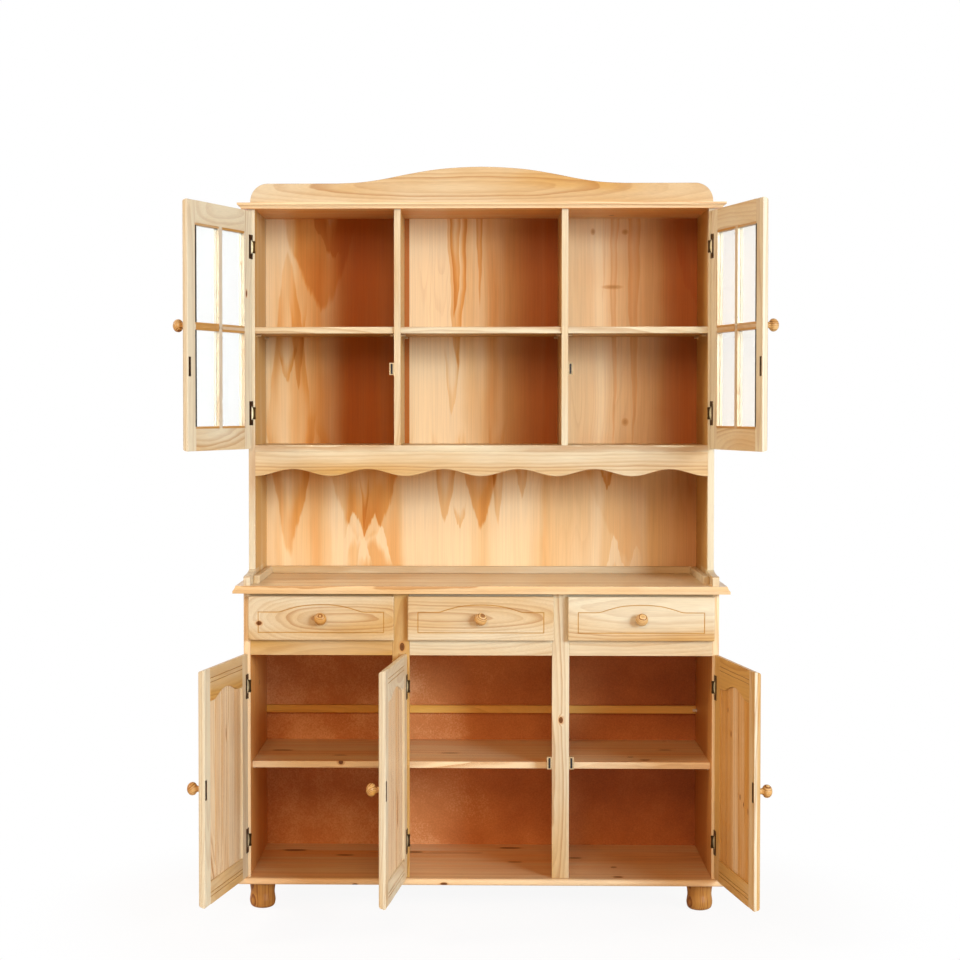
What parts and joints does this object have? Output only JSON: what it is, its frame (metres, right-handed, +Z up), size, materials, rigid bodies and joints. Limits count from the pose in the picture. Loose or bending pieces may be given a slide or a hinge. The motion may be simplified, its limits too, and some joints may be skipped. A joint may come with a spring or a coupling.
{
  "type": "display cabinet",
  "caption": "Free-standing pine dresser: a base cupboard with drawers over panelled doors on bun feet, and a hutch with glazed doors, an open middle bay and a crest.",
  "frame": {"origin": "on the floor, at the middle of the space that the cabinet takes with its doors open as modelled", "axes": "+Z up, -Y towards the person in front of the cabinet, +X to that person's right"},
  "size_m": [1.5659, 0.8569, 2.02],
  "materials": {
    "pine": "clear satin lacquer on planed pine",
    "plain_pine": "planed pine, unfinished",
    "knob_pine": "turned pine, lacquered",
    "pine_veneer": "lacquered pine veneer on plywood",
    "hardboard": "smooth hardboard",
    "glass": "clear float glass",
    "brass": "antique brass plate",
    "catch_plastic": "moulded, matt",
    "magnet": "dark ferrite",
    "peg_plastic": "moulded, matt"
  },
  "bodies": {
    "carcass": {"worktop": "pine", "base_side_left": "pine", "base_side_right": "pine", "base_dividers": "pine", "front_stiles": "pine", "drawer_rails": "pine", "bottom_board": "pine", "base_back_panel": "hardboard", "back_battens": "pine", "lower_shelves": "pine", "bun_feet": "pine", "drawer_runners": "plain_pine", "hutch_side_left": "pine", "hutch_side_right": "pine", "hutch_dividers": "pine", "hutch_shelves": "pine", "hutch_bottom_board": "pine", "apron": "pine", "top_board": "pine", "crest_board": "pine", "hutch_back_panel": "pine_veneer", "hutch_cleats": "pine", "shelf_pegs": "peg_plastic", "catch_housings": "catch_plastic", "catch_magnets": "magnet", "frame_hinge_leaves": "brass", "hinge_pins": "brass"},
    "door_lower_left": {"door_lower_left_frame": "pine", "door_lower_left_panel": "pine", "door_lower_left_knob": "knob_pine", "door_lower_left_hardware": "brass"},
    "door_lower_middle": {"door_lower_middle_frame": "pine", "door_lower_middle_panel": "pine", "door_lower_middle_knob": "knob_pine", "door_lower_middle_hardware": "brass"},
    "door_lower_right": {"door_lower_right_frame": "pine", "door_lower_right_panel": "pine", "door_lower_right_knob": "knob_pine", "door_lower_right_hardware": "brass"},
    "door_upper_left": {"door_upper_left_frame": "pine", "door_upper_left_bars": "pine", "door_upper_left_glass": "glass", "door_upper_left_beads": "pine", "door_upper_left_knob": "knob_pine", "door_upper_left_hardware": "brass"},
    "door_upper_right": {"door_upper_right_frame": "pine", "door_upper_right_bars": "pine", "door_upper_right_glass": "glass", "door_upper_right_beads": "pine", "door_upper_right_knob": "knob_pine", "door_upper_right_hardware": "brass"},
    "drawer_left": {"drawer_left_front": "pine", "drawer_left_box": "plain_pine", "drawer_left_knob": "knob_pine"},
    "drawer_middle": {"drawer_middle_front": "pine", "drawer_middle_box": "plain_pine", "drawer_middle_knob": "knob_pine"},
    "drawer_right": {"drawer_right_front": "pine", "drawer_right_box": "plain_pine", "drawer_right_knob": "knob_pine"}
  },
  "joints": [
    {"name": "door_lower_left_hinge", "type": "hinge", "parent": "carcass", "child": "door_lower_left", "pos_m": [-0.6125, -0.0345, 0.4], "axis": [0, 0, -1], "range_deg": [-100, 18]},
    {"name": "door_lower_middle_hinge", "type": "hinge", "parent": "carcass", "child": "door_lower_middle", "pos_m": [-0.1825, -0.0345, 0.4], "axis": [0, 0, -1], "range_deg": [-96, 12]},
    {"name": "door_lower_right_hinge", "type": "hinge", "parent": "carcass", "child": "door_lower_right", "pos_m": [0.6465, -0.0345, 0.4], "axis": [0, 0, 1], "range_deg": [-98.5, 19.5]},
    {"name": "door_upper_left_hinge", "type": "hinge", "parent": "carcass", "child": "door_upper_left", "pos_m": [-0.6125, 0.1045, 1.573], "axis": [0, 0, -1], "range_deg": [-109, 9]},
    {"name": "door_upper_right_hinge", "type": "hinge", "parent": "carcass", "child": "door_upper_right", "pos_m": [0.6465, 0.1045, 1.573], "axis": [0, 0, 1], "range_deg": [-103.5, 14.5]},
    {"name": "drawer_left_slide", "type": "slide", "parent": "carcass", "child": "drawer_left", "axis": [0, -1, 0], "range_m": [0, 0.3]},
    {"name": "drawer_middle_slide", "type": "slide", "parent": "carcass", "child": "drawer_middle", "axis": [0, -1, 0], "range_m": [0, 0.3]},
    {"name": "drawer_right_slide", "type": "slide", "parent": "carcass", "child": "drawer_right", "axis": [0, -1, 0], "range_m": [0, 0.3]}
  ]
}
